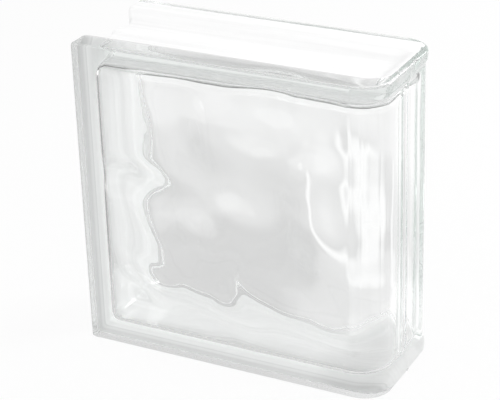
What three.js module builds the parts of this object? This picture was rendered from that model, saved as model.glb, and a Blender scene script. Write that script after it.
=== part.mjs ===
// A glass end block: two pressed glass halves, fused face to face in the middle of the
// thickness. Mortar channels run along the bottom, the left side and the top. The right
// side is the finished end: a smooth, rounded wall that closes the channels off.
//
// Millimetres, +Z up. The origin is the middle of the underside of the block's box.
// The front face looks towards -Y, and the finished end towards +X.

import * as THREE from "three";

// ---- Driving dimensions ---------------------------------------------------------------

// The block.
const WIDTH = 190;
const HEIGHT = 190;
const DEPTH = 80;
const EDGE_ROUND = 1.5; // every outer edge
const JOINT_CORNER_RADIUS = 2; // corners of the faces on the jointed side

// The finished end.
const END_RADIUS = 16; // its upright edges, seen from above
const END_DRAFT = 0.3; // how far it leans in from the seam to each face
const END_RIM = 3; // flat top of the rim that closes the channels
const PROUD = 1.6; // the rim lips and the seam bead stand out this far together
const LIP_FLARE = 1.4; // the rim lips alone
const LIP_BAND = 5; // a lip has its full flare down to here,
const LIP_HEIGHT = 9.5; // and has faded into the wall here
const BEAD_RISE = 0.8; // glass squeezed out of the seam
const BEAD_HALF_WIDTH = 2;

// Across a mortar channel: [distance from the face, depth]. Flat flange tip, slope,
// floor, then the low ridge where the halves are fused.
const CHANNEL = [
  [12.5, 0],
  [14, 0.15],
  [15.5, 0.55],
  [17, 1.35],
  [20, 4.1],
  [22.5, 5.6],
  [26, 6.2],
  [34, 6.2],
  [36.5, 5.1],
  [40, 4.8],
];

// The hollow between the panes.
const WEB = 10; // block edge to hollow at the seam, on the three jointed sides
const END_WALL = 7; // the same at the finished end
const PANE = 7.5; // thickness of each pane before its relief
const HOLLOW_DRAFT = 2.5; // the hollow narrows this much from the seam to each pane
const HOLLOW_CORNER = 6; // corners of the hollow on the jointed side
const FILLET = 3.2; // round each pane, and in the corners at the finished end
const TOP_FILLET = 7; // the same along the top
const HOLLOW_END_RADIUS = 14; // the same along the finished end
const RELIEF_STEP = 5; // spacing of the points that carry the relief

// The bonding coat that is painted into the channels.
const COAT = 0.4;
const COAT_START = 15.5; // distance from each face, a value of CHANNEL

// Steps around rounded shapes.
const END_ARC_STEPS = 8;
const CORNER_STEPS = 4;
const FILLET_STEPS = 4;

// Relief on the inner side of each pane: soft ridges and troughs. Each is a row of swells
// along a path of [x, z] points, with how many swells there are, how high one rises and how
// far to each side it reaches.
const FRONT_RELIEF = [
  { rise: 1.26, reach: 17.5, count: 5, path: [[-81, 108], [-63.5, 111], [-58.5, 108]] },
  { rise: 1.78, reach: 26, count: 14, path: [[-51.5, 99.5], [-21.5, 87.5], [-18, 120.5], [31, 113], [24.5, 83.5], [59, 66.5]] },
  { rise: 1.69, reach: 26, count: 11, path: [[26, 136.5], [53.5, 154], [74, 151.5], [65.5, 105.5], [74, 104]] },
  { rise: 2.1, reach: 26, count: 5, path: [[35.5, 172], [17, 157.5], [10.5, 140]] },
  { rise: 0.87, reach: 14, count: 4, path: [[-0.5, 66], [-5.5, 52], [-2.5, 48.5]] },
  { rise: -1.09, reach: 16.5, count: 4, path: [[-28.5, 41.5], [12, 22]] },
  { rise: -1.23, reach: 13.5, count: 4, path: [[-69.5, 55], [-45, 40.5]] },
  { rise: 2.1, reach: 26, count: 6, path: [[74, 86], [74, 41.5], [33, 62]] },
  { rise: 0.6, reach: 16, count: 10, path: [[-47, 176], [-50, 133.5], [-40.5, 103.5]] },
  { rise: 2.1, reach: 25.5, count: 5, path: [[-17, 176], [8, 176], [35, 176]] },
  { rise: 2.1, reach: 25.5, count: 2, path: [[52, 176], [66, 175.5]] },
  { rise: -1.01, reach: 19, count: 4, path: [[-31.5, 91], [-15.5, 76.5]] },
  { rise: 0.9, reach: 22, count: 8, path: [[-32.5, 172], [-27.5, 127]] },
];
const BACK_RELIEF = [
  { rise: 0.97, reach: 16, count: 13, path: [[-79.5, 37.5], [-50.5, 39], [-22.5, 35], [15, 44]] },
  { rise: 1.3, reach: 34, count: 10, path: [[-80.5, 83], [-40.5, 99.5], [-6, 85.5], [28.5, 93], [52, 92.5], [66, 89.5]] },
  { rise: 1.3, reach: 34, count: 7, path: [[-58.5, 131], [-27.5, 127], [27, 159], [41.5, 126], [74, 146.5]] },
  { rise: 0.99, reach: 19.5, count: 4, path: [[50.5, 37], [74, 50]] },
];

const GLASS = { color: 0xe6efe9, roughness: 0.06, metalness: 0, transparent: true, opacity: 0.45 };
const BONDING_COAT = { color: 0xf6f6f3, roughness: 0.75, metalness: 0 };

// ---- Worked out from the dimensions ----------------------------------------------------

const HALF_DEPTH = DEPTH / 2;
const HALF_WIDTH = WIDTH / 2;
const LAST = CHANNEL.length - 1;
// The channels close at the finished end with the same slope as at the faces, but nearer.
const END_SHIFT = CHANNEL[0][0] - END_RIM;

// ---- Profiles --------------------------------------------------------------------------

// Depth of the channel at a distance from the nearest rim.
function channelDepth(distance) {
  if (distance <= CHANNEL[0][0]) return 0;
  if (distance >= CHANNEL[LAST][0]) return CHANNEL[LAST][1];
  const i = CHANNEL.findIndex(([d]) => d > distance);
  const [d0, c0] = CHANNEL[i - 1];
  const [d1, c1] = CHANNEL[i];
  return c0 + ((c1 - c0) * (distance - d0)) / (d1 - d0);
}

// How far a quarter round of this radius falls short of its corner.
function roundDrop(distance, radius) {
  if (distance >= radius) return 0;
  return radius - Math.sqrt(radius ** 2 - (radius - distance) ** 2);
}

// Blends from 0 to 1 with no kink at either end.
function smooth(t) {
  const s = Math.min(Math.max(t, 0), 1);
  return s * s * (3 - 2 * s);
}

// x of the finished end, at a distance from the face and a height, before its round edge.
function endPlane(fromFace, z) {
  const wall = HALF_WIDTH - PROUD - END_DRAFT * (1 - fromFace / HALF_DEPTH);
  const turn = 1 - roundDrop(fromFace, END_RADIUS) / END_RADIUS;
  const fromRim = Math.min(z, HEIGHT - z);
  const lip = LIP_FLARE * turn * smooth((LIP_HEIGHT - fromRim) / (LIP_HEIGHT - LIP_BAND));
  const bead = BEAD_RISE * smooth(1 - (HALF_DEPTH - fromFace) / BEAD_HALF_WIDTH);
  return Math.min(wall + lip + bead, HALF_WIDTH);
}

function endOutline(fromFace, z) {
  return endPlane(fromFace, z) - roundDrop(fromFace, END_RADIUS);
}

// How far the top and bottom stand back from the block's box at x.
function jointInset(x, fromFace) {
  const fromEnd = endPlane(fromFace, HEIGHT) - x;
  const cornerA = Math.max(END_RADIUS - fromFace, 0);
  const cornerB = Math.max(END_RADIUS - fromEnd, 0);
  const fromEdge = END_RADIUS - Math.hypot(cornerA, cornerB);
  const edge = roundDrop(Math.max(Math.min(fromEdge, fromFace, fromEnd), 0), EDGE_ROUND);
  return Math.max(channelDepth(Math.min(fromFace, fromEnd + END_SHIFT)), edge);
}

// Evenly spaced points along a path, its first and last points among them.
function pointsAlong(path, count) {
  const corners = path.map(([x, z]) => new THREE.Vector2(x, z));
  const lengths = corners.slice(1).map((corner, i) => corner.distanceTo(corners[i]));
  const total = lengths.reduce((sum, length) => sum + length, 0);
  return Array.from({ length: count }, (_, i) => {
    let left = (total * i) / (count - 1);
    let k = 0;
    while (k < lengths.length - 1 && left > lengths[k]) {
      left -= lengths[k];
      k += 1;
    }
    return corners[k].clone().lerp(corners[k + 1], left / lengths[k]);
  });
}

// The swells that make up a relief.
function swellsOf(ridges) {
  return ridges.flatMap(({ rise, reach, count, path }) =>
    pointsAlong(path, count).map((place) => ({ place, reach, rise })),
  );
}

// Height of a pane's relief at a point.
function relief(swells, x, z) {
  return swells.reduce((sum, { place, reach, rise }) => {
    const away = Math.hypot(x - place.x, z - place.y);
    return sum + rise * smooth(1 - away / reach);
  }, 0);
}

// ---- Rings and grids of points ---------------------------------------------------------

// Distances from a face at which the outside is drawn, from the face to the seam.
function rowDistances() {
  const rows = [];
  for (let i = 0; i <= END_ARC_STEPS; i++) {
    const distance = END_RADIUS * (1 - Math.cos((i / END_ARC_STEPS) * (Math.PI / 2)));
    if (distance < CHANNEL[0][0] - 1) rows.push(distance);
  }
  rows.push(...CHANNEL.map(([distance]) => distance));
  rows.push(HALF_DEPTH - BEAD_HALF_WIDTH, HALF_DEPTH - BEAD_HALF_WIDTH / 2);
  return rows.sort((a, b) => a - b);
}

// Distances from the finished end at which the top and the bottom are drawn.
function columnDistances() {
  const columns = [0, EDGE_ROUND * 0.3, EDGE_ROUND];
  columns.push(...CHANNEL.map(([distance]) => distance - END_SHIFT));
  return [...new Set(columns)].sort((a, b) => a - b);
}

const ROWS = rowDistances();
const COLUMNS = columnDistances();
const LIP_STEPS = [0, 1, 2, 3].map((i) => LIP_BAND + ((LIP_HEIGHT - LIP_BAND) * i) / 3);

// One ring round the outside: along the bottom from the finished end, up the jointed
// side, back along the top, and down the finished end. side is -1 for the front half.
function outsideRing(fromFace, side) {
  const y = side * (HALF_DEPTH - fromFace);
  const point = (x, z) => new THREE.Vector3(x, y, z);
  const inset = Math.max(channelDepth(fromFace), roundDrop(fromFace, EDGE_ROUND));
  const end = endOutline(fromFace, HEIGHT);
  const along = COLUMNS.map((b) => [end - b, jointInset(end - b, fromFace)]);
  const bottom = along.map(([x, c]) => point(x, c));
  const top = along.map(([x, c]) => point(x, HEIGHT - c)).reverse();
  const corner = (centreZ, startAngle) => {
    const points = [];
    for (let i = 0; i <= CORNER_STEPS; i++) {
      const angle = startAngle - (i / CORNER_STEPS) * (Math.PI / 2);
      const x = -HALF_WIDTH + inset + JOINT_CORNER_RADIUS * (1 + Math.cos(angle));
      points.push(point(x, centreZ + JOINT_CORNER_RADIUS * Math.sin(angle)));
    }
    return points;
  };
  const low = corner(inset + JOINT_CORNER_RADIUS, -Math.PI / 2);
  const high = corner(HEIGHT - inset - JOINT_CORNER_RADIUS, -Math.PI);
  const down = [...LIP_STEPS.map((s) => HEIGHT - s), ...[...LIP_STEPS].reverse()];
  const wall = down.map((z) => point(endOutline(fromFace, z), z));
  return { points: [...bottom, ...low, ...high, ...top, ...wall], jointed: 2 * (COLUMNS.length + CORNER_STEPS + 1) };
}

// Positions across the hollow: close together over the roundings, then evenly spaced.
function acrossHollow(length, firstRadius, lastRadius) {
  const over = (radius) =>
    Array.from({ length: FILLET_STEPS }, (_, i) => radius * (1 - Math.cos((i / FILLET_STEPS) * (Math.PI / 2))));
  const straight = length - firstRadius - lastRadius;
  const count = Math.round(straight / RELIEF_STEP);
  const middle = Array.from({ length: count + 1 }, (_, i) => firstRadius + (straight * i) / count);
  return [...over(firstRadius), ...middle, ...over(lastRadius).map((d) => length - d).reverse()];
}

const HOLLOW = {
  left: -HALF_WIDTH + WEB,
  right: HALF_WIDTH - END_WALL,
  low: WEB,
  high: HEIGHT - WEB,
};

// The grid of points over a hollow that is drawn in by inset on every side. The grid's
// corners are pulled in to round corners. Each point is placed with how far the rounding
// round the pane has dropped there.
function hollowGrid(inset, place) {
  const width = HOLLOW.right - HOLLOW.left - 2 * HOLLOW_DRAFT;
  const height = HOLLOW.high - HOLLOW.low - 2 * HOLLOW_DRAFT;
  const growX = 1 + (2 * (HOLLOW_DRAFT - inset)) / width;
  const growZ = 1 + (2 * (HOLLOW_DRAFT - inset)) / height;
  const centreX = (HOLLOW.left + HOLLOW.right) / 2;
  const centreZ = HEIGHT / 2;
  const columns = acrossHollow(width, FILLET, HOLLOW_END_RADIUS);
  return acrossHollow(height, FILLET, TOP_FILLET).map((v) =>
    columns.map((u) => {
      const radius = u < width / 2 ? HOLLOW_CORNER : FILLET;
      const fromSide = Math.min(u, width - u);
      const fromEnd = Math.min(v, height - v);
      const cornerU = Math.max(radius - fromSide, 0);
      const cornerV = Math.max(radius - fromEnd, 0);
      const pull = cornerU && cornerV ? Math.max(cornerU, cornerV) / Math.hypot(cornerU, cornerV) : 1;
      const inU = cornerU && cornerV ? radius - cornerU * pull : fromSide;
      const inV = cornerU && cornerV ? radius - cornerV * pull : fromEnd;
      const x = centreX + Math.sign(u - width / 2) * (width / 2 - inU) * growX;
      const z = centreZ + Math.sign(v - height / 2) * (height / 2 - inV) * growZ;
      const drop = Math.max(
        roundDrop(Math.min(u, v), FILLET),
        roundDrop(height - v, TOP_FILLET),
        roundDrop(width - u, HOLLOW_END_RADIUS),
      );
      return place(x, z, drop);
    }),
  );
}

// The points round the edge of a grid, in order.
function rim(grid) {
  const rows = grid.length;
  const columns = grid[0].length;
  const points = [];
  for (let i = 0; i < columns - 1; i++) points.push(grid[0][i]);
  for (let j = 0; j < rows - 1; j++) points.push(grid[j][columns - 1]);
  for (let i = columns - 1; i > 0; i--) points.push(grid[rows - 1][i]);
  for (let j = rows - 1; j > 0; j--) points.push(grid[j][0]);
  return points;
}

// ---- Surfaces --------------------------------------------------------------------------

const triangle = (a, b, c) => [a, b, c];
const quad = (a, b, c, d) => [triangle(a, b, c), triangle(a, c, d)];

// A band of faces between two rings, or two open rows, of the same number of points.
function band(from, to, closed = true) {
  const faces = [];
  const count = closed ? from.length : from.length - 1;
  for (let i = 0; i < count; i++) {
    const j = (i + 1) % from.length;
    faces.push(...quad(from[i], from[j], to[j], to[i]));
  }
  return faces;
}

// A flat face inside a ring, with an opening where inner is given. facing is the sign of
// its normal's y.
function flat(facing, outer, inner = []) {
  const inPlane = (p) => new THREE.Vector2(p.x, p.z);
  const all = [...outer, ...inner];
  const holes = inner.length ? [inner.map(inPlane)] : [];
  const found = THREE.ShapeUtils.triangulateShape(outer.map(inPlane), holes);
  return found.map(([i, j, k]) => {
    const [a, b, c] = [all[i], all[j], all[k]];
    const normal = b.clone().sub(a).cross(c.clone().sub(a));
    return normal.y * facing > 0 ? triangle(a, b, c) : triangle(a, c, b);
  });
}

function surface(grid) {
  return grid.slice(1).flatMap((row, j) => band(grid[j], row, false));
}

const turned = (faces) => faces.map(([a, b, c]) => triangle(a, c, b));

// A mesh of the faces. A half and its mirror image are drawn alike, so the mirror image
// comes out inside out and is turned by its sign.
function meshOf(name, faces, material) {
  const volume = faces.reduce((sum, [a, b, c]) => sum + a.dot(b.clone().cross(c)), 0);
  const outward = volume > 0 ? faces : turned(faces);
  const geometry = new THREE.BufferGeometry().setFromPoints(outward.flat());
  geometry.computeVertexNormals();
  const mesh = new THREE.Mesh(geometry, new THREE.MeshStandardMaterial(material));
  mesh.name = name;
  return mesh;
}

// ---- The pieces ------------------------------------------------------------------------

// One pressed half: a pane with its relief, the walls round the hollow, and the flanges.
function pressedHalf(name, side, ridges) {
  const rings = ROWS.map((distance) => outsideRing(distance, side).points);
  const outside = rings.slice(1).flatMap((ring, i) => band(rings[i], ring));
  const swells = swellsOf(ridges);
  const pane = hollowGrid(HOLLOW_DRAFT, (x, z, drop) => {
    const fromFace = PANE + relief(swells, x, z) + drop;
    return new THREE.Vector3(x, side * (HALF_DEPTH - fromFace), z);
  });
  const mouth = rim(hollowGrid(0, (x, z) => new THREE.Vector3(x, 0, z)));
  const faces = [
    ...flat(-1, rings[0]),
    ...outside,
    ...flat(1, rings[ROWS.length - 1], mouth),
    ...turned(band(mouth, rim(pane))),
    ...turned(surface(pane)),
  ];
  return meshOf(name, faces, GLASS);
}

// The coated points on the outside of one half, row by row from the flange to the seam.
function coatedRows(side) {
  const skipped = COLUMNS.indexOf(COAT_START - END_SHIFT);
  return ROWS.filter((distance) => distance >= COAT_START).map((distance) => {
    const { points, jointed } = outsideRing(distance, side);
    return points.slice(skipped, jointed - skipped);
  });
}

// The same rows, each point moved out of the surface by the thickness of the coat.
function raised(rows) {
  return rows.map((row, j) =>
    row.map((point, i) => {
      const alongRow = row[Math.min(i + 1, row.length - 1)].clone().sub(row[Math.max(i - 1, 0)]);
      const acrossRows = rows[Math.min(j + 1, rows.length - 1)][i].clone().sub(rows[Math.max(j - 1, 0)][i]);
      return point.clone().addScaledVector(alongRow.cross(acrossRows).normalize(), COAT);
    }),
  );
}

// The bonding coat: a thin skin on the bottom, jointed side and top, between the flanges.
function jointCoating() {
  const front = coatedRows(-1);
  const back = coatedRows(1);
  const seamToBack = (rows) => [...rows].reverse().slice(1);
  const under = [...front, ...seamToBack(back)];
  const over = raised(under);
  const overBack = over.slice(front.length - 1).reverse();
  // Each half's faces are cut the same way as the glass below them.
  const inner = [...surface(front), ...turned(surface(back))];
  const outer = [...surface(over.slice(0, front.length)), ...turned(surface(overBack))];
  return meshOf("joint_coating", [...inner, ...turned(outer), ...turned(band(rim(under), rim(over)))], BONDING_COAT);
}

const block = new THREE.Group();
block.add(pressedHalf("front_half", -1, FRONT_RELIEF));
block.add(pressedHalf("back_half", 1, BACK_RELIEF));
block.add(jointCoating());

export default block;
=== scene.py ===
# %% [markdown]
# # A glass end block
#
# The block is two pressed glass halves fused into one hollow body. Three of its sides
# carry a channel for mortar, painted white inside, and the fourth is a smooth rounded
# end. This lesson models the glass as one outer shell with one inner shell for the
# hollow, presses soft waves into the panes, lays the white coat in the channels, and
# lights the whole like a product on a white table.

# %% Load the frame
import contextlib
import math

import bmesh
import bpy
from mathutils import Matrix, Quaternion, Vector


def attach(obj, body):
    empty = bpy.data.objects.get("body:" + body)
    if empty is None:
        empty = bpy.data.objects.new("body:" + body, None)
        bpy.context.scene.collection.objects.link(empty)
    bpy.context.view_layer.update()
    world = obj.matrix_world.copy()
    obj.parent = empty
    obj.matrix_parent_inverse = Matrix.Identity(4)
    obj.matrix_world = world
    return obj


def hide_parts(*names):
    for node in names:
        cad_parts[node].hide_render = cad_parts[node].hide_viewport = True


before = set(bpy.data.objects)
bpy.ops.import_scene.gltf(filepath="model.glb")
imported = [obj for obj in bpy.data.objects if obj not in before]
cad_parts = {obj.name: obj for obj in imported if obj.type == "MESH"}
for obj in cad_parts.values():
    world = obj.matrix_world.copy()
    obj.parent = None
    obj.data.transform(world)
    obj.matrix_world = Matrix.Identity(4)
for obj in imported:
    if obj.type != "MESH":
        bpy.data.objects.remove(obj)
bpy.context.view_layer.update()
MM = 0.001
print("nodes:", sorted(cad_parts))

# %% [markdown]
# ## The sizes of the block
#
# Everything is worked out from a few real sizes in millimetres. The block is 190 mm
# square and 80 mm thick, which with a 10 mm mortar joint fills a 200 mm module. The
# channel is given as a list of points across it, from a face of the block to the seam
# in the middle: how far from the face, and how deep. The same list serves for the
# closed end of the channel, where it is shifted towards the rim.

# %% Sizes of the outside
WIDTH = 190
HEIGHT = 190
DEPTH = 80
HALF_WIDTH = WIDTH / 2
HALF_DEPTH = DEPTH / 2

EDGE_ROUND = 1.5
JOINT_CORNER_RADIUS = 2

# The wall of the finished end lies back from the full width by PROUD and leans in by
# END_DRAFT towards each face. Its lips and its seam bead stand out from it.
END_RADIUS = 16
END_DRAFT = 0.3
PROUD = 1.6
LIP_FLARE = 1.4
LIP_BAND = 5
LIP_HEIGHT = 9.5
BEAD_RISE = 0.8
BEAD_HALF_WIDTH = 2

# The channel's closed end starts END_RIM in from that wall, with round corners.
CHANNEL = [
    (12.5, 0), (14, 0.15), (15.5, 0.55), (17, 1.35), (20, 4.1),
    (22.5, 5.6), (26, 6.2), (34, 6.2), (36.5, 5.1), (40, 4.8),
]
END_RIM = 3
END_SHIFT = CHANNEL[0][0] - END_RIM
CHANNEL_CORNER = 13
print("channel:", len(CHANNEL), "points, deepest", max(depth for _, depth in CHANNEL), "mm")

# %% Sizes of the hollow
# WEB is how far the hollow lies in from the block's full size on the jointed sides,
# END_WALL the same at the finished end, and PANE the same at each face, before the waves.
# The hollow narrows by HOLLOW_DRAFT from the seam to each pane.
WEB = 10
END_WALL = 7
PANE = 7.5
HOLLOW_DRAFT = 2.5

# The radii of the hollow's edges.
HOLLOW_CORNER = 6
FILLET = 3.2
TOP_FILLET = 7
HOLLOW_END_RADIUS = 14
print("hollow:", WIDTH - WEB - END_WALL, "x", DEPTH - 2 * PANE, "x", HEIGHT - 2 * WEB, "mm")

# %% [markdown]
# ## Helpers for working as by hand
#
# Each helper does what a hand does in the viewport: add a cube at its size, go into edit
# mode, pick vertices, edges or faces by where they are, cut with a plane, and move what
# is picked. Picking is done on the edit mesh, so that no mode has to be left for it. A
# place counts as met within a slack of 0.02 mm.

# %% Helpers for modelling
SLACK = 0.02


def only(piece):
    """Selects one object and makes it active."""
    bpy.ops.object.select_all(action="DESELECT")
    piece.select_set(True)
    bpy.context.view_layer.objects.active = piece


def add_box(name, low, high):
    """A cube primitive between two corners in millimetres, its place in its mesh."""
    bpy.ops.object.select_all(action="DESELECT")
    low, high = Vector(low) * MM, Vector(high) * MM
    bpy.ops.mesh.primitive_cube_add(size=1, location=(low + high) / 2, scale=high - low)
    bpy.ops.object.transform_apply(location=True, rotation=True, scale=True)
    piece = bpy.context.object
    piece.name = piece.data.name = name
    return piece


@contextlib.contextmanager
def editing(piece, mode="VERT"):
    """Edit mode for one piece, with everything deselected."""
    only(piece)
    bpy.ops.object.mode_set(mode="EDIT")
    bpy.ops.mesh.select_mode(type=mode)
    bpy.ops.mesh.select_all(action="DESELECT")
    yield bmesh.from_edit_mesh(piece.data)
    bpy.ops.object.mode_set(mode="OBJECT")


def pick(piece, kind, wanted):
    """Selects just the verts, edges or faces for which wanted is true, and counts them."""
    bpy.ops.mesh.select_all(action="DESELECT")
    mesh = bmesh.from_edit_mesh(piece.data)
    picked = [item for item in getattr(mesh, kind) if wanted(item)]
    for item in picked:
        item.select_set(True)
    bmesh.update_edit_mesh(piece.data)
    return len(picked)


def cut(point, normal, piece=None, faces=None):
    """Cuts with a plane through a point in millimetres: the faces for which faces is true, or all."""
    if faces:
        pick(piece, "faces", faces)
    else:
        bpy.ops.mesh.select_all(action="SELECT")
    bpy.ops.mesh.bisect(plane_co=Vector(point) * MM, plane_no=normal)


def move(x=0, y=0, z=0, **proportional):
    """Moves what is picked by millimetres."""
    bpy.ops.transform.translate(value=Vector((x, y, z)) * MM, **proportional)


def near(value, target, slack=SLACK):
    """Whether a coordinate in metres is at a place in millimetres."""
    return abs(value / MM - target) < slack


print("helpers ready")

# %% [markdown]
# ## The outside of the block
#
# The outside of the real block is pressed in two moulds that open at the seam, so its
# finished end leans in slightly from the seam to each face. It could be drawn as an
# outline and extruded, but a box keeps every side flat and easy to pick: the box is cut
# at the seam and the two far edges of the end are moved in. Those edges are then
# bevelled to the big round corners, and the corners of the jointed side to small ones.

# %% The blank
END_PLANE = HALF_WIDTH - PROUD
END_SEGMENTS = 20
JOINT_CORNER_SEGMENTS = 6

block = add_box("glass_body", (-HALF_WIDTH, -HALF_DEPTH, 0), (END_PLANE, HALF_DEPTH, HEIGHT))
with editing(block):
    cut((0, 0, 0), (0, 1, 0))
    pick(block, "verts", lambda v: near(v.co.x, END_PLANE) and near(abs(v.co.y), HALF_DEPTH))
    move(x=-END_DRAFT)


def along_depth(edge):
    """Whether an edge runs from the front face to the back face on the left side."""
    level = near(edge.verts[0].co.z, edge.verts[1].co.z / MM)
    return level and all(near(v.co.x, -HALF_WIDTH) for v in edge.verts)


def upright(edge):
    """Whether an edge runs up the finished end along a face of the block."""
    return all(v.co.x > 0 and near(abs(v.co.y), HALF_DEPTH) for v in edge.verts)


with editing(block, "EDGE"):
    pick(block, "edges", upright)
    bpy.ops.mesh.bevel(offset=END_RADIUS * MM, segments=END_SEGMENTS, affect="EDGES")
    pick(block, "edges", along_depth)
    bpy.ops.mesh.bevel(offset=JOINT_CORNER_RADIUS * MM, segments=JOINT_CORNER_SEGMENTS, affect="EDGES")
print("blank:", len(block.data.vertices), "vertices")

# %% [markdown]
# ## Soft edges and flat panes
#
# Pressed glass has no sharp edge, and the thin bright lines along a glass block's rims
# come from that rounding, so every edge that is still sharp gets a small bevel. A bevel
# also bends the shading of the flat face beside it. The two panes are therefore inset by
# a hair, which keeps them truly flat right up to the rounding: glass shows the slightest
# bend in a surface.

# %% Rounding the outer edges
EDGE_SEGMENTS = 5
SHARP_ANGLE = math.radians(60)
PANE_INSET = 0.3
FLAT = 0.9999


def is_pane(face, side):
    """Whether a face is the flat outside of the front pane, side -1, or the back pane, side 1."""
    return face.normal.y * side > FLAT and near(abs(face.calc_center_median().y), HALF_DEPTH)


with editing(block, "EDGE"):
    bpy.ops.mesh.edges_select_sharp(sharpness=SHARP_ANGLE)
    bpy.ops.mesh.bevel(offset=EDGE_ROUND * MM, segments=EDGE_SEGMENTS, affect="EDGES", clamp_overlap=False)

with editing(block, "FACE"):
    for side in (-1, 1):
        pick(block, "faces", lambda f: is_pane(f, side))
        bpy.ops.mesh.inset(thickness=PANE_INSET * MM, depth=0)
print("rounded blank:", len(block.data.polygons), "faces")

# %% [markdown]
# ## The profile of the mortar channels
#
# The mortar channel is a shallow trough between the flanges, with a low ridge where the
# two halves were fused. Its profile is drawn with straight lines between few points. A
# mould has no such kinks, so the depth is read through a short sliding average, which
# rounds them.

# %% The profile in fine steps
STEP = 1.0
BLUNTING = 1.2
FIRST_ROW_INSET = 0.2


def drawn_depth(distance):
    """Depth on the straight lines between the points of the profile."""
    points = [(0, 0), *CHANNEL, (2 * HALF_DEPTH - CHANNEL[-2][0], CHANNEL[-2][1])]
    for (start, depth), (end, next_depth) in zip(points, points[1:]):
        if distance <= end:
            return depth + (next_depth - depth) * (distance - start) / (end - start)
    return points[-1][1]


def channel_depth(distance, samples=9):
    """Depth of the channel, averaged over a short way to both sides."""
    offsets = [BLUNTING * (2 * i / (samples - 1) - 1) for i in range(samples)]
    return sum(drawn_depth(distance + offset) for offset in offsets) / samples


CHANNEL_START = CHANNEL[0][0] - BLUNTING + FIRST_ROW_INSET
step_count = round((HALF_DEPTH - CHANNEL_START) / STEP)
steps = [CHANNEL_START + (HALF_DEPTH - CHANNEL_START) * i / step_count for i in range(step_count + 1)]
print("profile in", len(steps), "steps, deepest", round(max(map(channel_depth, steps)), 2), "mm")

# %% [markdown]
# ## Rows for the channels
#
# A channel could be cut out with a second solid and a boolean. Sinking it row by row
# leaves cleaner faces, which glass needs. Planes cut the box where the rows lie: across
# the thickness from both faces, and across the width from the finished end, where the
# same slope closes the channel off. A slanting cut at each corner of that closed end
# lets the faces there fold the right way. A face counts as facing along an axis when its
# normal, which is 1 long, reaches more than 0.5 along it.

# %% Cuts for the channels
FACING = 0.5


def end_cut(distance):
    """x of the cut that lies this far in from the rim of the finished end."""
    return END_PLANE - distance + END_SHIFT


def on_joint_side(face):
    """Whether a face lies on the bottom, top or left side, between the flange tips."""
    centre = face.calc_center_median()
    between = abs(centre.y) / MM < HALF_DEPTH - CHANNEL_START
    return between and abs(face.normal.y) < FACING and face.normal.x < FACING


def in_closed_corner(face, side):
    """Whether a face lies where the slope of one flange meets that of the finished end."""
    centre = face.calc_center_median()
    return on_joint_side(face) and centre.x / MM > end_cut(HALF_DEPTH) and centre.y * side > 0


with editing(block, "FACE"):
    for distance in steps[:-1]:
        for side in (-1, 1):
            cut((0, side * (HALF_DEPTH - distance), 0), (0, 1, 0))
    for distance in steps:
        cut((end_cut(distance), 0, 0), (1, 0, 0), block, on_joint_side)
    for side in (-1, 1):
        corner = (end_cut(CHANNEL_START), side * (HALF_DEPTH - CHANNEL_START), 0)
        cut(corner, (1, -side, 0), block, lambda f: in_closed_corner(f, side))
print("cut blank:", len(block.data.vertices), "vertices")

# %% [markdown]
# ## Sinking the channels
#
# All points that lie equally far in from the nearest rim are picked together and pushed
# to their depth. Near the two corners of the closed end the distance is taken from a
# round rim, which rounds the slope there as on the real block. The three sides are
# pushed each on their own, so where two channels meet they come out as a clean mitre.

# %% Sinking the channels
HAIR = 0.01


def rim_distance(point):
    """How far a point of the blank is from the nearest rim, in millimetres."""
    from_face = HALF_DEPTH - abs(point.y) / MM
    from_end = END_PLANE - point.x / MM + END_SHIFT
    centre = CHANNEL[0][0] + CHANNEL_CORNER
    if max(from_face, from_end) >= centre:
        return min(from_face, from_end)
    return centre - math.hypot(centre - from_face, centre - from_end)


# Each side with the way it is pushed, and the distance of a point from that side.
SIDES = {
    "bottom": ((0, 0, 1), lambda co: co.z),
    "top": ((0, 0, -1), lambda co: HEIGHT * MM - co.z),
    "left": ((1, 0, 0), lambda co: co.x + HALF_WIDTH * MM),
}
with editing(block) as mesh:
    depths = {v.index: round(channel_depth(rim_distance(v.co)), 2) for v in mesh.verts}
    reach = (JOINT_CORNER_RADIUS + HAIR) * MM
    on_side = {name: {v.index for v in mesh.verts if gap(v.co) < reach} for name, (_, gap) in SIDES.items()}
    for name, (direction, _) in SIDES.items():
        rows = sorted({depths[index] for index in on_side[name]} - {0})
        for depth in rows:
            pick(block, "verts", lambda v: v.index in on_side[name] and depths[v.index] == depth)
            move(*(Vector(direction) * depth))
        print(name, "channel:", len(rows), "rows, deepest", rows[-1], "mm")

# %% [markdown]
# ## The finished end
#
# The top and bottom of the end flare out into a small lip, and the glass that was
# squeezed out of the seam stands as a bead down the middle. Both could be separate
# solids, but on the real block they are one with the wall. So rows of vertices are
# picked and moved out with proportional editing, which lets the rows beside them follow
# smoothly. First the wall gets those rows.

# %% Rows for the lips and the seam bead
BEAD_ROWS = (0.5, 1, 1.5, BEAD_HALF_WIDTH)
LIP_START = END_PLANE - END_DRAFT - END_RADIUS
LIP_ROWS = 7


def on_end_wall(face):
    """Whether a face belongs to the upright wall of the finished end, its corners included."""
    return face.calc_center_median().x > LIP_START * MM and abs(face.normal.z) < FACING


with editing(block, "FACE"):
    for i in range(LIP_ROWS):
        row = LIP_BAND + (LIP_HEIGHT - LIP_BAND) * i / (LIP_ROWS - 1)
        cut((0, 0, row), (0, 0, 1), block, on_end_wall)
        cut((0, 0, HEIGHT - row), (0, 0, 1), block, on_end_wall)
    for row in BEAD_ROWS:
        cut((0, row, 0), (0, 1, 0), block, on_end_wall)
        cut((0, -row, 0), (0, 1, 0), block, on_end_wall)
print("wall with its rows:", len(block.data.polygons), "faces")

# %% [markdown]
# ## Lips and seam bead
#
# A lip is scaled outwards about the line where the round corners begin, so it fades out
# along them. The bead is the middle row of the wall, moved out. Where it crosses the lips
# its crest would stand past the block's full width, so it is scaled flat onto it there.

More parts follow.
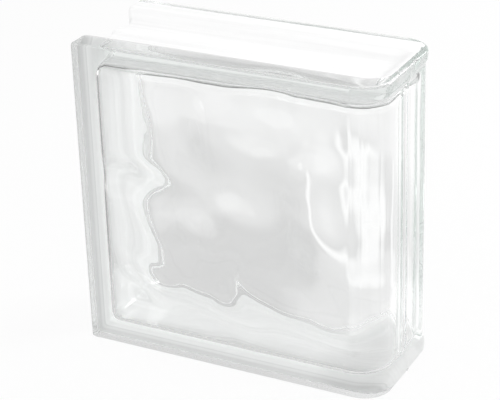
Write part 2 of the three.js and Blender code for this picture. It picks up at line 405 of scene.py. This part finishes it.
# %% Lips and seam bead
SOFT_EDIT = {"use_proportional_edit": True, "proportional_edit_falloff": "SMOOTH"}
BEAD_REACH = BEAD_HALF_WIDTH * 1.05
WIDE_SLACK = 0.1


def on_bead(vert):
    """Whether a vertex is on the seam of the end wall, clear of its rounded edges."""
    in_middle = near(vert.co.y, 0) and vert.co.x > (END_PLANE - WIDE_SLACK) * MM
    return in_middle and EDGE_ROUND / 2 < vert.co.z / MM < HEIGHT - EDGE_ROUND / 2


with editing(block):
    for rim in (0, HEIGHT):
        pick(block, "verts", lambda v: near(v.co.z, rim, LIP_BAND + SLACK) and v.co.x > LIP_START * MM)
        bpy.ops.transform.resize(
            value=(1 + LIP_FLARE / END_RADIUS, 1, 1), center_override=Vector((LIP_START, 0, rim)) * MM,
            proportional_size=(LIP_HEIGHT - LIP_BAND) * MM, **SOFT_EDIT)
    bead_points = pick(block, "verts", on_bead)
    move(x=BEAD_RISE, proportional_size=BEAD_REACH * MM, **SOFT_EDIT)
    pick(block, "verts", lambda v: v.co.x > HALF_WIDTH * MM)
    bpy.ops.transform.resize(value=(0, 1, 1), center_override=Vector((HALF_WIDTH, 0, 0)) * MM)
print("end reaches", round(max(v.co.x for v in block.data.vertices) / MM, 2), "mm, bead points:", bead_points)
print("outside:", len(block.data.polygons), "faces")

# %% [markdown]
# ## The bonding coat
#
# The channels are painted with a white coat that mortar grips. It could be a second
# material on the glass's own faces, but the real coat is a layer with a thickness and an
# edge. So it is a piece of its own, lifted off the block itself: the channel's faces are
# copied, separated and given a thickness. First the faces are cut where the paint ends.
# On the closed end its corners are round, so slanting cuts trim them.

# %% Where the coat ends
COAT_FROM_FRONT = 13
COAT_FROM_BACK = 5
COAT_FROM_END = 4
COAT_CORNER = 13
COAT_TURNS = (15, 30, 45, 60, 75)
SLOPING = 0.3
COAT_FRONT = COAT_FROM_FRONT - HALF_DEPTH
COAT_BACK = HALF_DEPTH - COAT_FROM_BACK
COAT_END = HALF_WIDTH - COAT_FROM_END


def corner_cuts():
    """A point and the outward direction of each slanting cut that rounds the coat's corners."""
    for side, edge in ((-1, COAT_FRONT), (1, COAT_BACK)):
        centre = Vector((COAT_END - COAT_CORNER, edge - side * COAT_CORNER, 0))
        for turn in COAT_TURNS:
            outward = Vector((math.cos(math.radians(turn)), side * math.sin(math.radians(turn)), 0))
            yield centre + outward * COAT_CORNER, outward


def in_coat_corner(face, outward):
    """Whether a face of the top or bottom channel lies in the corner that a cut trims."""
    centre = face.calc_center_median()
    in_corner = centre.x / MM > COAT_END - COAT_CORNER and centre.y * outward.y > 0
    return in_corner and abs(face.normal.z) > SLOPING and on_joint_side(face)


def from_flange_to_flange(face):
    """Whether a face lies on the bottom, top or left side, its flanges included."""
    return abs(face.normal.y) < FACING and face.normal.x < FACING


def on_top_or_bottom(face):
    """Whether a face of the right half faces up or down."""
    return abs(face.normal.z) > FACING and face.calc_center_median().x > 0


with editing(block, "FACE"):
    cut((0, COAT_FRONT, 0), (0, 1, 0), block, on_joint_side)
    cut((0, COAT_BACK, 0), (0, 1, 0), block, from_flange_to_flange)
    cut((COAT_END, 0, 0), (1, 0, 0), block, on_top_or_bottom)
    for point, outward in corner_cuts():
        cut(point, outward, block, lambda f: in_coat_corner(f, outward))
print("cut for the coat:", len(block.data.polygons), "faces")

# %% [markdown]
# ## A film on the glass
#
# The copy is first pulled a little into the glass, so that light inside the glass meets
# paint and not air. That is what makes a painted channel look white when it is seen
# through the panes. Solidify then gives it the thickness that brings its outside just
# above the glass.

# %% Lifting off the coat
COAT_BITE = 0.06
COAT_PROUD = 0.02
COAT_SMOOTHING = math.radians(50)
FLANGE_FACE = 0.95


def is_coated(face):
    """Whether a face of the block is under the coat. Faces of the panes and flanges aren't."""
    centre = face.calc_center_median() / MM
    if any((centre - point).dot(outward) > 0 for point, outward in corner_cuts()):
        return False
    from_end = HALF_WIDTH - centre.x
    between = centre.y > COAT_FRONT and centre.y < COAT_BACK
    turned_away = abs(face.normal.y) < FLANGE_FACE and face.normal.x < FACING
    return between and turned_away and from_end > COAT_FROM_END


with editing(block, "FACE"):
    print("coated faces:", pick(block, "faces", is_coated))
    bpy.ops.mesh.duplicate()
    bpy.ops.mesh.separate(type="SELECTED")
coat = next(piece for piece in bpy.context.selected_objects if piece is not block)
coat.name = coat.data.name = "joint_coat"

with editing(coat):
    bpy.ops.mesh.select_all(action="SELECT")
    bpy.ops.transform.shrink_fatten(value=-COAT_BITE * MM)
only(coat)
skin = coat.modifiers.new("skin", "SOLIDIFY")
skin.thickness = (COAT_BITE + COAT_PROUD) * MM
skin.offset = 1
bpy.ops.object.modifier_apply(modifier=skin.name)
bpy.ops.object.shade_smooth_by_angle(angle=COAT_SMOOTHING)
print("coat:", len(coat.data.polygons), "faces")

# %% [markdown]
# ## The hollow
#
# The hollow between the panes holds dry, thin air. A boolean could dig it out, but light
# needs only its surface, so it is a second closed shell inside the first. It starts as a
# box too, and widens from both panes towards the seam, because each half left its mould
# that way.

# %% The hollow as a box
HOLLOW_LOW = Vector((-HALF_WIDTH + WEB, PANE - HALF_DEPTH, WEB))
HOLLOW_HIGH = Vector((HALF_WIDTH - END_WALL, HALF_DEPTH - PANE, HEIGHT - WEB))
HOLLOW_SIZE = HOLLOW_HIGH - HOLLOW_LOW
HOLLOW_CENTRE = (HOLLOW_LOW + HOLLOW_HIGH) / 2
OFF_SEAM = 1

hollow = add_box("hollow", HOLLOW_LOW, HOLLOW_HIGH)
with editing(hollow):
    cut((0, 0, 0), (0, 1, 0))
    pick(hollow, "verts", lambda v: abs(v.co.y) > OFF_SEAM * MM)
    narrowed = Vector((1 - 2 * HOLLOW_DRAFT / HOLLOW_SIZE.x, 1, 1 - 2 * HOLLOW_DRAFT / HOLLOW_SIZE.z))
    bpy.ops.transform.resize(value=narrowed, center_override=HOLLOW_CENTRE * MM)
print("hollow at the seam:", [round(size, 1) for size in HOLLOW_SIZE], "mm")

# %% [markdown]
# ## The round edges of the hollow
#
# The lines that are seen round a pane are the rounded edges of the hollow, bent by the
# glass. They aren't all alike: the end is wide and round, the top is softer than the
# other sides. The end is bevelled first. A bevel weight on each other edge then lets one
# modifier round them all together, which keeps the corners clean.

# %% Rounding the hollow
HOLLOW_END_SEGMENTS = 14
FILLET_SEGMENTS = 8
FILLET_ANGLE = math.radians(30)


def is_level(edge):
    """Whether an edge's two ends are equally high."""
    return near(edge.verts[0].co.z, edge.verts[1].co.z / MM)


def at_end(edge):
    """Whether an edge of the hollow's box runs up its finished end along a pane."""
    on_right = all(v.co.x > HOLLOW_CENTRE.x * MM for v in edge.verts)
    return on_right and all(abs(v.co.y) > OFF_SEAM * MM for v in edge.verts) and not is_level(edge)


def on_seam(edge):
    return all(near(v.co.y, 0) for v in edge.verts)


def is_sharp(edge):
    return not on_seam(edge) and edge.calc_face_angle() > FILLET_ANGLE


def fillet_radius(edge):
    """The radius that a sharp edge of the hollow gets, by where it lies."""
    if min(v.co.z for v in edge.verts) / MM > HEIGHT - WEB - HOLLOW_DRAFT - WIDE_SLACK:
        return TOP_FILLET
    across = abs(edge.verts[0].co.y - edge.verts[1].co.y) > OFF_SEAM * MM
    return HOLLOW_CORNER if across and edge.verts[0].co.x < HOLLOW_CENTRE.x * MM else FILLET


with editing(hollow, "EDGE"):
    pick(hollow, "edges", at_end)
    bpy.ops.mesh.bevel(offset=HOLLOW_END_RADIUS * MM, segments=HOLLOW_END_SEGMENTS, affect="EDGES")
    for radius in (FILLET, HOLLOW_CORNER, TOP_FILLET):
        pick(hollow, "edges", lambda e: is_sharp(e) and fillet_radius(e) == radius)
        bpy.ops.transform.edge_bevelweight(value=radius / TOP_FILLET)
rounding = hollow.modifiers.new("rounding", "BEVEL")
rounding.limit_method = "WEIGHT"
rounding.width = TOP_FILLET * MM
rounding.segments = FILLET_SEGMENTS
rounding.use_clamp_overlap = False
bpy.ops.object.modifier_apply(modifier=rounding.name)
print("rounded hollow:", len(hollow.data.polygons), "faces")

# %% [markdown]
# ## A grid and the inner bead
#
# Waves need vertices to carry them. Many parallel cuts give the panes an even grid,
# which bends more evenly than a subdivided face with its uneven corners. A small bead of
# squeezed-out glass runs round the hollow at the seam, as it does outside. It is the
# seam's own row, scaled in with its neighbours following.

# %% A grid for the waves
GRID = 1.7
INNER_BEAD = 1.1
INNER_BEAD_ROWS = (0.6, 1.2, 1.8)
INNER_BEAD_REACH = 1.9

with editing(hollow):
    for axis, normal in ((0, (1, 0, 0)), (2, (0, 0, 1))):
        lines = round(HOLLOW_SIZE[axis] / GRID)
        for i in range(1, lines):
            point = [0, 0, 0]
            point[axis] = HOLLOW_LOW[axis] + HOLLOW_SIZE[axis] * i / lines
            cut(point, normal)
    for row in INNER_BEAD_ROWS:
        cut((0, row, 0), (0, 1, 0))
        cut((0, -row, 0), (0, 1, 0))
    pick(hollow, "verts", lambda v: near(v.co.y, 0))
    shrunk = Vector((1 - 2 * INNER_BEAD / HOLLOW_SIZE.x, 1, 1 - 2 * INNER_BEAD / HOLLOW_SIZE.z))
    bpy.ops.transform.resize(
        value=shrunk, center_override=HOLLOW_CENTRE * MM,
        proportional_size=INNER_BEAD_REACH * MM, **SOFT_EDIT)
print("hollow with its grid:", len(hollow.data.polygons), "faces")

# %% [markdown]
# ## The waves in the panes
#
# The waves blur what is behind the block. They are pressed into the inner side of each
# pane, and the outer side stays flat. A noise texture would give waves of one size all
# over. The real ones are a few soft ridges and troughs that wander across the pane, so
# each is written down as a path, the number of swells along it, and how high each swell
# rises and how far it reaches. A trough has a rise below zero. All is in millimetres.

# %% The paths of the waves
FRONT_RELIEF = [
    {"rise": 1.26, "reach": 17.5, "count": 5, "path": [(-81, 108), (-63.5, 111), (-58.5, 108)]},
    {"rise": 1.78, "reach": 26, "count": 14,
     "path": [(-51.5, 99.5), (-21.5, 87.5), (-18, 120.5), (31, 113), (24.5, 83.5), (59, 66.5)]},
    {"rise": 1.69, "reach": 26, "count": 11,
     "path": [(26, 136.5), (53.5, 154), (74, 151.5), (65.5, 105.5), (74, 104)]},
    {"rise": 2.1, "reach": 26, "count": 5, "path": [(35.5, 172), (17, 157.5), (10.5, 140)]},
    {"rise": 0.87, "reach": 14, "count": 4, "path": [(-0.5, 66), (-5.5, 52), (-2.5, 48.5)]},
    {"rise": -1.09, "reach": 16.5, "count": 4, "path": [(-28.5, 41.5), (12, 22)]},
    {"rise": -1.23, "reach": 13.5, "count": 4, "path": [(-69.5, 55), (-45, 40.5)]},
    {"rise": 2.1, "reach": 26, "count": 6, "path": [(74, 86), (74, 41.5), (33, 62)]},
    {"rise": 0.6, "reach": 16, "count": 10, "path": [(-47, 176), (-50, 133.5), (-40.5, 103.5)]},
    {"rise": 2.1, "reach": 25.5, "count": 5, "path": [(-17, 176), (8, 176), (35, 176)]},
    {"rise": 2.1, "reach": 25.5, "count": 2, "path": [(52, 176), (66, 175.5)]},
    {"rise": -1.01, "reach": 19, "count": 4, "path": [(-31.5, 91), (-15.5, 76.5)]},
    {"rise": 0.9, "reach": 22, "count": 8, "path": [(-32.5, 172), (-27.5, 127)]},
]
BACK_RELIEF = [
    {"rise": 0.97, "reach": 16, "count": 13, "path": [(-79.5, 37.5), (-50.5, 39), (-22.5, 35), (15, 44)]},
    {"rise": 1.3, "reach": 34, "count": 10,
     "path": [(-80.5, 83), (-40.5, 99.5), (-6, 85.5), (28.5, 93), (52, 92.5), (66, 89.5)]},
    {"rise": 1.3, "reach": 34, "count": 7,
     "path": [(-58.5, 131), (-27.5, 127), (27, 159), (41.5, 126), (74, 146.5)]},
    {"rise": 0.99, "reach": 19.5, "count": 4, "path": [(50.5, 37), (74, 50)]},
]
print("waves:", len(FRONT_RELIEF), "in front,", len(BACK_RELIEF), "at the back")

# %% [markdown]
# ## Raising a wave swell by swell
#
# The vertex nearest to the start of a path is moved into the hollow with smooth
# proportional editing, then one a little further on, and so forth. The swells lie well
# within each other's reach, so they add up to a crest of even height. Spaced wider, they
# would leave bumps, and the lines seen through the glass would turn jagged.

# %% Pressing the waves
PANE_SLACK = 6


def points_along(path, count):
    """Evenly spaced points along a path, its first and last points among them."""
    corners = [Vector(point) for point in path]
    lengths = [(b - a).length for a, b in zip(corners, corners[1:])]
    points = []
    for i in range(count):
        left = sum(lengths) * i / (count - 1)
        leg = 0
        while leg < len(lengths) - 1 and left > lengths[leg]:
            left -= lengths[leg]
            leg += 1
        points.append(corners[leg].lerp(corners[leg + 1], left / lengths[leg]))
    return points


def press_waves(side, ridges):
    """Raises the ridges on the pane at the front, side -1, or the back, side 1."""
    swells = 0
    with editing(hollow) as mesh:
        pane_level = side * (HALF_DEPTH - PANE)
        pane = [v for v in mesh.verts if near(v.co.y, pane_level, PANE_SLACK)]
        for ridge in ridges:
            for x, z in points_along(ridge["path"], ridge["count"]):
                spot = Vector((x, z)) * MM
                vertex = min(pane, key=lambda v: (v.co.x - spot.x) ** 2 + (v.co.z - spot.y) ** 2)
                bpy.ops.mesh.select_all(action="DESELECT")
                vertex.select_set(True)
                mesh.select_history.clear()
                bpy.ops.transform.translate(
                    value=(0, -side * ridge["rise"] * MM, 0),
                    proportional_size=ridge["reach"] * MM, **SOFT_EDIT)
                swells += 1
    return swells


print("swells:", press_waves(-1, FRONT_RELIEF), "in front,", press_waves(1, BACK_RELIEF), "at the back")

# %% [markdown]
# ## One glass body
#
# The two halves are fused, so there is no air between them. Two touching solids would
# show a mirror at the seam. The hollow's shell is turned inside out, because its faces
# have to point out of the glass, and is joined to the outside. One mesh then bounds the
# glass all round, which is what refraction and absorption need.

# %% Joining the shells
GLASS_SMOOTHING = math.radians(40)

with editing(hollow):
    bpy.ops.mesh.select_all(action="SELECT")
    bpy.ops.mesh.flip_normals()
bpy.ops.object.select_all(action="DESELECT")
hollow.select_set(True)
block.select_set(True)
bpy.context.view_layer.objects.active = block
bpy.ops.object.join()
bpy.ops.object.shade_smooth_by_angle(angle=GLASS_SMOOTHING)
print("glass:", len(block.data.polygons), "faces")

# %% [markdown]
# ## Writing materials as expressions
#
# A small class wraps a node's output, so that shader maths can be written as ordinary
# Python expressions. Each operator adds one Math node, and the reflected forms let a
# plain number stand first, as in 1 - mask. Any other node comes from the graph's own
# node method, which takes its type, its settings and its inputs. The stops of a colour
# ramp are given as a setting too.

# %% Values as numbers
class Value:
    """An output socket that can be added, subtracted and multiplied."""

    def __init__(self, graph, socket):
        self.graph, self.socket = graph, socket

    def maths(self, operation, first, second):
        return self.graph.node("ShaderNodeMath", {"operation": operation}, {0: first, 1: second})

    def __add__(self, other):
        return self.maths("ADD", self, other)

    def __radd__(self, other):
        return self.maths("ADD", other, self)

    def __sub__(self, other):
        return self.maths("SUBTRACT", self, other)

    def __rsub__(self, other):
        return self.maths("SUBTRACT", other, self)

    def __mul__(self, other):
        return self.maths("MULTIPLY", self, other)

    def __rmul__(self, other):
        return self.maths("MULTIPLY", other, self)

    def largest(self, other):
        return self.maths("MAXIMUM", self, other)

    def other_output(self, name):
        """Another output of the node that this value comes from."""
        return Value(self.graph, self.socket.node.outputs[name])


print("values add, subtract and multiply")

# %% Graphs of nodes
def grey(level):
    """A grey as a colour."""
    return level, level, level, 1


def set_stops(band, interpolation, stops):
    """Gives a colour ramp its stops, each a pair of a position and a grey."""
    band.interpolation = interpolation
    while len(band.elements) < len(stops):
        band.elements.new(0.5)
    for element, (position, level) in zip(band.elements, stops):
        element.position = position
        element.color = grey(level)


class Graph:
    """The nodes of one material or world."""

    def __init__(self, owner):
        owner.use_nodes = True
        self.tree = owner.node_tree
        self.tree.nodes.clear()

    def node(self, kind, settings=None, inputs=None, output=0):
        """Adds a node and its settings, then its inputs: numbers, colours, or Values to link."""
        made = self.tree.nodes.new(kind)
        for name, value in (settings or {}).items():
            if name == "stops":
                set_stops(made.color_ramp, *value)
            else:
                setattr(made, name, value)
        for name, value in (inputs or {}).items():
            if isinstance(value, Value):
                self.tree.links.new(value.socket, made.inputs[name])
            else:
                made.inputs[name].default_value = value
        return Value(self, made.outputs[output]) if made.outputs else None


def surface_material(name):
    """A new material and its empty graph."""
    material = bpy.data.materials.new(name)
    return material, Graph(material)


def give(piece, material):
    """Makes a material the only one of a piece."""
    piece.data.materials.clear()
    piece.data.materials.append(material)


print("material helpers ready")

# %% [markdown]
# ## Ramps and rays
#
# A colour ramp turns a place or a direction into a grey, which is how paint and floor
# get tones that change from place to place. It reads from 0 to 1, so half is added where
# the middle of the block is to be the middle of the ramp, and a direction, which runs
# from -1 to 1, is halved first. A Light Path node says what kind of ray is asking. With
# it a surface can look one way in a reflection or through the glass, and another way
# straight from the camera, as a studio does with cards that stand just out of view.

# %% Helpers for tones and rays
COLOUR_A, COLOUR_B, COLOUR_RESULT = 6, 7, 2


def ramp(graph, value, stops, interpolation="LINEAR"):
    """A value led through a colour ramp."""
    return graph.node("ShaderNodeValToRGB", {"stops": (interpolation, stops)}, {0: value})


def mixed_colour(graph, factor, first, second):
    """A Mix node on colours. Its colour sockets are found by their place in its lists."""
    sockets = {0: factor, COLOUR_A: first, COLOUR_B: second}
    return graph.node("ShaderNodeMix", {"data_type": "RGBA"}, sockets, COLOUR_RESULT)


def seen_by_rays(path):
    """1 for rays that come by way of a mirror or through glass, else 0."""
    return path.other_output("Is Glossy Ray").largest(path.other_output("Is Transmission Ray"))


print("tone helpers ready")

# %% [markdown]
# ## Pressed glass
#
# The glass is clear, with the trace of green that iron leaves in it. A tinted surface
# would colour a thin pane as much as a thick edge, so the tint is absorption inside the
# body instead: the long way through an edge looks darker, as on the real block. Shadow
# rays and rays from the paint pass straight through. Refracted light would need far more
# samples to reach the paint, and the coat would look dirty.

# %% Glass
GLASS_IOR = 1.52
GLASS_TINT = (0.61, 0.70, 0.66, 1)
TINT_DENSITY = 3.5
WAY_THROUGH = 0.965

glass, graph = surface_material("pressed_glass")
clear = graph.node("ShaderNodeBsdfPrincipled", None, {
    "Base Color": grey(1), "Roughness": 0.0, "IOR": GLASS_IOR, "Transmission Weight": 1.0})
open_way = graph.node("ShaderNodeBsdfTransparent", None, {"Color": grey(WAY_THROUGH)})
path = graph.node("ShaderNodeLightPath")
from_paint = path.other_output("Is Diffuse Ray")
from_lamp = path.other_output("Is Shadow Ray")
soft = graph.node("ShaderNodeMixShader", None, {0: from_paint, 1: clear, 2: open_way})
surface = graph.node("ShaderNodeMixShader", None, {0: from_lamp, 1: soft, 2: open_way})
volume = graph.node("ShaderNodeVolumeAbsorption", None, {"Color": GLASS_TINT, "Density": TINT_DENSITY})
graph.node("ShaderNodeOutputMaterial", None, {"Surface": surface, "Volume": volume})
give(block, glass)
print("glass:", len(graph.tree.nodes), "nodes, index of refraction", GLASS_IOR)

# %% [markdown]
# ## The tone of the coat
#
# The coat is a matt paint with faint brush strokes along the channel and a fine grain.
# Seen through the glass it isn't one white. Its colour carries painted shade: darker bands
# on the slope behind the front flange, where little light reaches the paint through the
# glass, and a darker end of the underside near the closed end. A plain colour would leave
# the rims of the block flat. The tones are ramps over the place on the block, and the
# strokes are noise stretched along the channel.

# %% Tones of the coat
# Painted shade: these bands darken the paint on the slope behind the front flange.
COAT_SHADE_BANDS = [(0.2125, 0.75), (0.2225, 0.85), (0.2335, 0.92), (0.2355, 0.82), (0.2415, 0.82), (0.245, 0.95)]
# Painted shade: the paint is made up to a fifth darker near the closed end of the underside.
END_PAINTED_SHADE = [(0.545, 0), (0.56, 0.12), (0.58, 0.2)]
UNDERSIDE = [(0.012, 1), (0.03, 0)]
STROKE_STRETCH = (9, 420, 9)
STROKE_DEPTH = 0.16
STROKE_BASE = 0.91

paint, graph = surface_material("bonding_coat")
position = graph.node("ShaderNodeTexCoord", None, None, "Object")
across = graph.node("ShaderNodeSeparateXYZ", None, {0: position}, "Y")
stretched = graph.node("ShaderNodeVectorMath", {"operation": "MULTIPLY"}, {0: position, 1: STROKE_STRETCH})
strokes = graph.node("ShaderNodeTexNoise", None, {"Vector": stretched, "Scale": 1.0, "Detail": 3.0}, "Fac")
from_front = across * (1 / (DEPTH * MM)) + 0.5
end_shade = ramp(graph, across.other_output("X") + 0.5, END_PAINTED_SHADE)
below = ramp(graph, across.other_output("Z"), UNDERSIDE)
shaded_bands = ramp(graph, from_front, COAT_SHADE_BANDS)
white = shaded_bands * (strokes * STROKE_DEPTH + STROKE_BASE) * (1 - end_shade * below)
print("coat tones:", len(graph.tree.nodes), "nodes")

# %% [markdown]
# ## The grain of the coat
#
# Dried paint is never smooth. The grain is far too fine to model, so it is a bump: noise
# that tilts the shading and leaves the surface where it is. A high roughness spreads what
# the coat mirrors, so that it stays white from every side.

# %% Bonding coat
GRAIN_SCALE = 1400.0
GRAIN_STRENGTH = 0.3
GRAIN_HEIGHT = 0.3 * MM
COAT_ROUGHNESS = 0.75

grain = graph.node("ShaderNodeTexNoise", None, {
    "Vector": position, "Scale": GRAIN_SCALE, "Detail": 4.0}, "Fac")
bump = graph.node("ShaderNodeBump", None, {
    "Height": grain, "Strength": GRAIN_STRENGTH, "Distance": GRAIN_HEIGHT})
matt = graph.node("ShaderNodeBsdfPrincipled", None, {
    "Base Color": white, "Roughness": COAT_ROUGHNESS, "Normal": bump})
graph.node("ShaderNodeOutputMaterial", None, {"Surface": matt})
give(coat, paint)
print("bonding coat:", len(graph.tree.nodes), "nodes")

# %% [markdown]
# ## Riding the frame
#
# The finished pieces take the place of the plain solids of the frame. Nothing on a glass
# block moves, so both ride on its one body. The glass stands for both halves at once.

# %% Riding the frame
RIDERS = (
    (block, ("front_half", "back_half"), "pressed_glass"),
    (coat, ("joint_coating",), "bonding_coat"),
)
for piece, nodes, slot in RIDERS:
    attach(piece, "root")
    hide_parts(*nodes)
    print(piece.name, "replaces", *nodes)

# %% [markdown]
# ## The table
#
# The block stands on a white table that runs on past the picture. What is seen through
# clear glass is mostly this table, so its tones make the look of the block. A real
# table's shadow would do it, but a shadow through glass is noisy and slow. The tones are
# painted on the plane instead, and only rays through the glass or off it see them: a grey
# round the block that is darker at the front left and turns white far behind.

# %% The plane and its tones
FLOOR_SIZE = 6
SHADE_ORIGIN = 0.3
SHADE_BEHIND = [
    (0, 0.78), (0.12, 0.71), (0.24, 0.69), (0.35, 0.675), (0.43, 0.7), (0.54, 0.82), (0.63, 0.93), (0.8, 1)]
SHADE_LEFT = [(0.25, 0.4), (0.38, 0)]
LEFT_SHADE_ENDS = [(0.3, 1), (0.42, 0)]

bpy.ops.object.select_all(action="DESELECT")
bpy.ops.mesh.primitive_plane_add(size=FLOOR_SIZE)
floor = bpy.context.object
floor.name = "floor"

ground, graph = surface_material("pale_floor")
position = graph.node("ShaderNodeTexCoord", None, None, "Object")
across = graph.node("ShaderNodeSeparateXYZ", None, {0: position}, "X")
behind = across.other_output("Y")
backwards = behind + SHADE_ORIGIN
left_shade = ramp(graph, across + 0.5, SHADE_LEFT, "EASE") * ramp(graph, backwards, LEFT_SHADE_ENDS, "EASE")
shadow = ramp(graph, backwards, SHADE_BEHIND, "EASE") * (1 - left_shade)
print("floor:", FLOOR_SIZE, "m wide, shade in", len(SHADE_BEHIND), "stops")

# %% [markdown]
# ## Where the table is bright
#
# A clear block throws light on the table as well as shade, and shows it again in its own
# panes. Traced light would find those spots only with very many samples. They are painted
# too: an open, white part to the right of the block, and a narrow white streak behind it.
# Both lean to the left as they go back.

# %% The open part and the streak
OPEN_FLOOR = [(0.51, 0), (0.53, 0.3), (0.545, 0.35), (0.572, 1)]
OPEN_FLOOR_ENDS = [(0.25, 0.2), (0.36, 1), (0.4, 1), (0.43, 0.45), (0.5, 0.45), (0.6, 1)]
OPEN_FLOOR_LEAN = 0.3
WHITE_STREAK = [(0.573, 0), (0.589, 1), (0.607, 0)]
WHITE_STREAK_ENDS = [(0.37, 0), (0.41, 1), (0.56, 1), (0.62, 0)]
WHITE_STREAK_LEAN = 0.625
OPEN_WHITE = 1.08


def leaning_patch(lean, across_stops, ends_stops):
    """A part of the floor by its stops across and from front to back, with leaning edges."""
    slanted = across + behind * lean + 0.5
    return ramp(graph, slanted, across_stops, "EASE") * ramp(graph, backwards, ends_stops, "EASE")


open_floor = leaning_patch(OPEN_FLOOR_LEAN, OPEN_FLOOR, OPEN_FLOOR_ENDS)
streak = leaning_patch(WHITE_STREAK_LEAN, WHITE_STREAK, WHITE_STREAK_ENDS)
reflected = mixed_colour(graph, open_floor.largest(streak), shadow, grey(OPEN_WHITE))
print("floor tones:", len(graph.tree.nodes), "nodes")

# %% [markdown]
# ## The table as the camera sees it
#
# Straight from the camera the table is almost pure white, with a breath of shadow under
# the block. A white floor lit by lamps alone would never be evenly white. So most of
# what the camera sees is a white glow, and a small part is the lit floor, which is where
# the soft shadow comes from.

# %% Floor
FLOOR_GREY = 0.85
WHITE_PART = 0.88

path = graph.node("ShaderNodeLightPath")
diffuse = graph.node("ShaderNodeBsdfDiffuse", None, {"Color": grey(FLOOR_GREY)})
glow = graph.node("ShaderNodeEmission", None, {"Color": reflected, "Strength": 1.0})
white = graph.node("ShaderNodeEmission", None, {"Color": grey(1), "Strength": 1.0})
lit = graph.node("ShaderNodeMixShader", None, {0: seen_by_rays(path), 1: diffuse, 2: glow})
surface = graph.node("ShaderNodeMixShader", None, {0: path * WHITE_PART, 1: lit, 2: white})
graph.node("ShaderNodeOutputMaterial", None, {"Surface": surface})
give(floor, ground)
print("floor material:", len(graph.tree.nodes), "nodes,", WHITE_PART, "of it white to the camera")

# %% [markdown]
# ## The studio
#
# Glass is seen by what it mirrors. In an even white room it would vanish, so the sky is
# bright at the horizon, dark higher up, and bright again overhead like a softbox. Those
# are the dark and light lines along the rims. Only mirrored and refracted rays see this
# pattern. The rest of the scene is lit by an even grey, which keeps the coat clean.

# %% World
STUDIO_SKY = [(0.5, 1.05), (0.6, 0.9), (0.72, 0.25), (0.93, 0.15), (1, 0.9)]
ROOM_LIGHT = 0.7

world = bpy.data.worlds.new("studio")
bpy.context.scene.world = world
graph = Graph(world)
path = graph.node("ShaderNodeLightPath")
direction = graph.node("ShaderNodeTexCoord", None, None, "Generated")
height = graph.node("ShaderNodeSeparateXYZ", None, {0: direction}, "Z")
sky = ramp(graph, height * 0.5 + 0.5, STUDIO_SKY)
colour = mixed_colour(graph, seen_by_rays(path), grey(ROOM_LIGHT), sky)
background = graph.node("ShaderNodeBackground", None, {"Color": colour, "Strength": 1.0})
graph.node("ShaderNodeOutputWorld", None, {"Surface": background})
print("studio:", len(STUDIO_SKY), "bands of sky, room light", ROOM_LIGHT)

# %% [markdown]
# ## The lamps
#
# Four square area lamps do the rest. The one behind is the strongest: it comes through
# the block and lights the coat from inside. The one overhead models the folds of the
# upper channel, and the front and side ones lift the flanges a little. Each lamp is
# turned to face the middle of the block.

# %% Lamps
LAMP_TARGET = Vector((0, 0, 0.1))
# Name, place in metres, size in metres, power in watts.
LAMPS = [
    ("overhead", (0.1, -0.1, 1.1), 1.0, 2),
    ("behind", (0.7, 0.9, 0.7), 0.6, 7),
    ("front", (0.45, -0.9, 0.55), 0.8, 1.6),
    ("side", (-0.75, -0.6, 0.5), 0.5, 1.2),
]


def add_lamp(name, place, size, power):
    """A square area lamp, turned to face the target."""
    place = Vector(place)
    turn = (LAMP_TARGET - place).to_track_quat("-Z", "Y").to_euler()
    bpy.ops.object.light_add(type="AREA", location=place, rotation=turn)
    lamp = bpy.context.object
    lamp.name = lamp.data.name = name
    lamp.data.shape = "SQUARE"
    lamp.data.size = size
    lamp.data.energy = power


for lamp_row in LAMPS:
    add_lamp(*lamp_row)
    print("lamp", *lamp_row)

# %% [markdown]
# ## The camera
#
# A long lens from a metre away shows the block as a product picture does, from the right
# and above, with little perspective. The camera is placed by its turn round the block,
# its height as an angle and its distance, and not by three coordinates, so that it can
# be walked round easily. Standard view keeps the white of the table white.

# %% Camera
CAMERA_AZIMUTH = 27.722
CAMERA_ELEVATION = 25.502
CAMERA_ROLL = -1.861
CAMERA_DISTANCE = 1054.458
CAMERA_TARGET = Vector((-4.722, 0, 91.327))
CAMERA_LENS = 130.441
CAMERA_SENSOR = 36

azimuth, elevation = math.radians(CAMERA_AZIMUTH), math.radians(CAMERA_ELEVATION)
towards = Vector((
    math.sin(azimuth) * math.cos(elevation), -math.cos(azimuth) * math.cos(elevation), math.sin(elevation)))
look = (-towards).to_track_quat("-Z", "Y") @ Quaternion((0, 0, 1), math.radians(CAMERA_ROLL))
bpy.ops.object.camera_add(location=(CAMERA_TARGET + towards * CAMERA_DISTANCE) * MM, rotation=look.to_euler())
camera = bpy.context.object
camera.data.lens = CAMERA_LENS
camera.data.sensor_width = CAMERA_SENSOR
scene = bpy.context.scene
scene.camera = camera
scene.view_settings.view_transform = "Standard"
print("camera at", [round(value, 3) for value in camera.location], "m, lens", CAMERA_LENS, "mm")

# %% [markdown]
# ## How far light is followed
#
# A ray that enters the block meets glass many times: the outside, the hollow, both
# panes, and each rim by total reflection. Cut off too early it turns black, and dark
# spots show in the corners. So far more bounces are allowed than a plain scene needs.

# %% Bounces
MAX_BOUNCES = 64
GLASS_BOUNCES = 48
CLEAR_BOUNCES = 24

scene.cycles.max_bounces = MAX_BOUNCES
scene.cycles.glossy_bounces = GLASS_BOUNCES
scene.cycles.transmission_bounces = GLASS_BOUNCES
scene.cycles.transparent_max_bounces = CLEAR_BOUNCES
print("bounces:", MAX_BOUNCES, "in all,", GLASS_BOUNCES, "in glass")
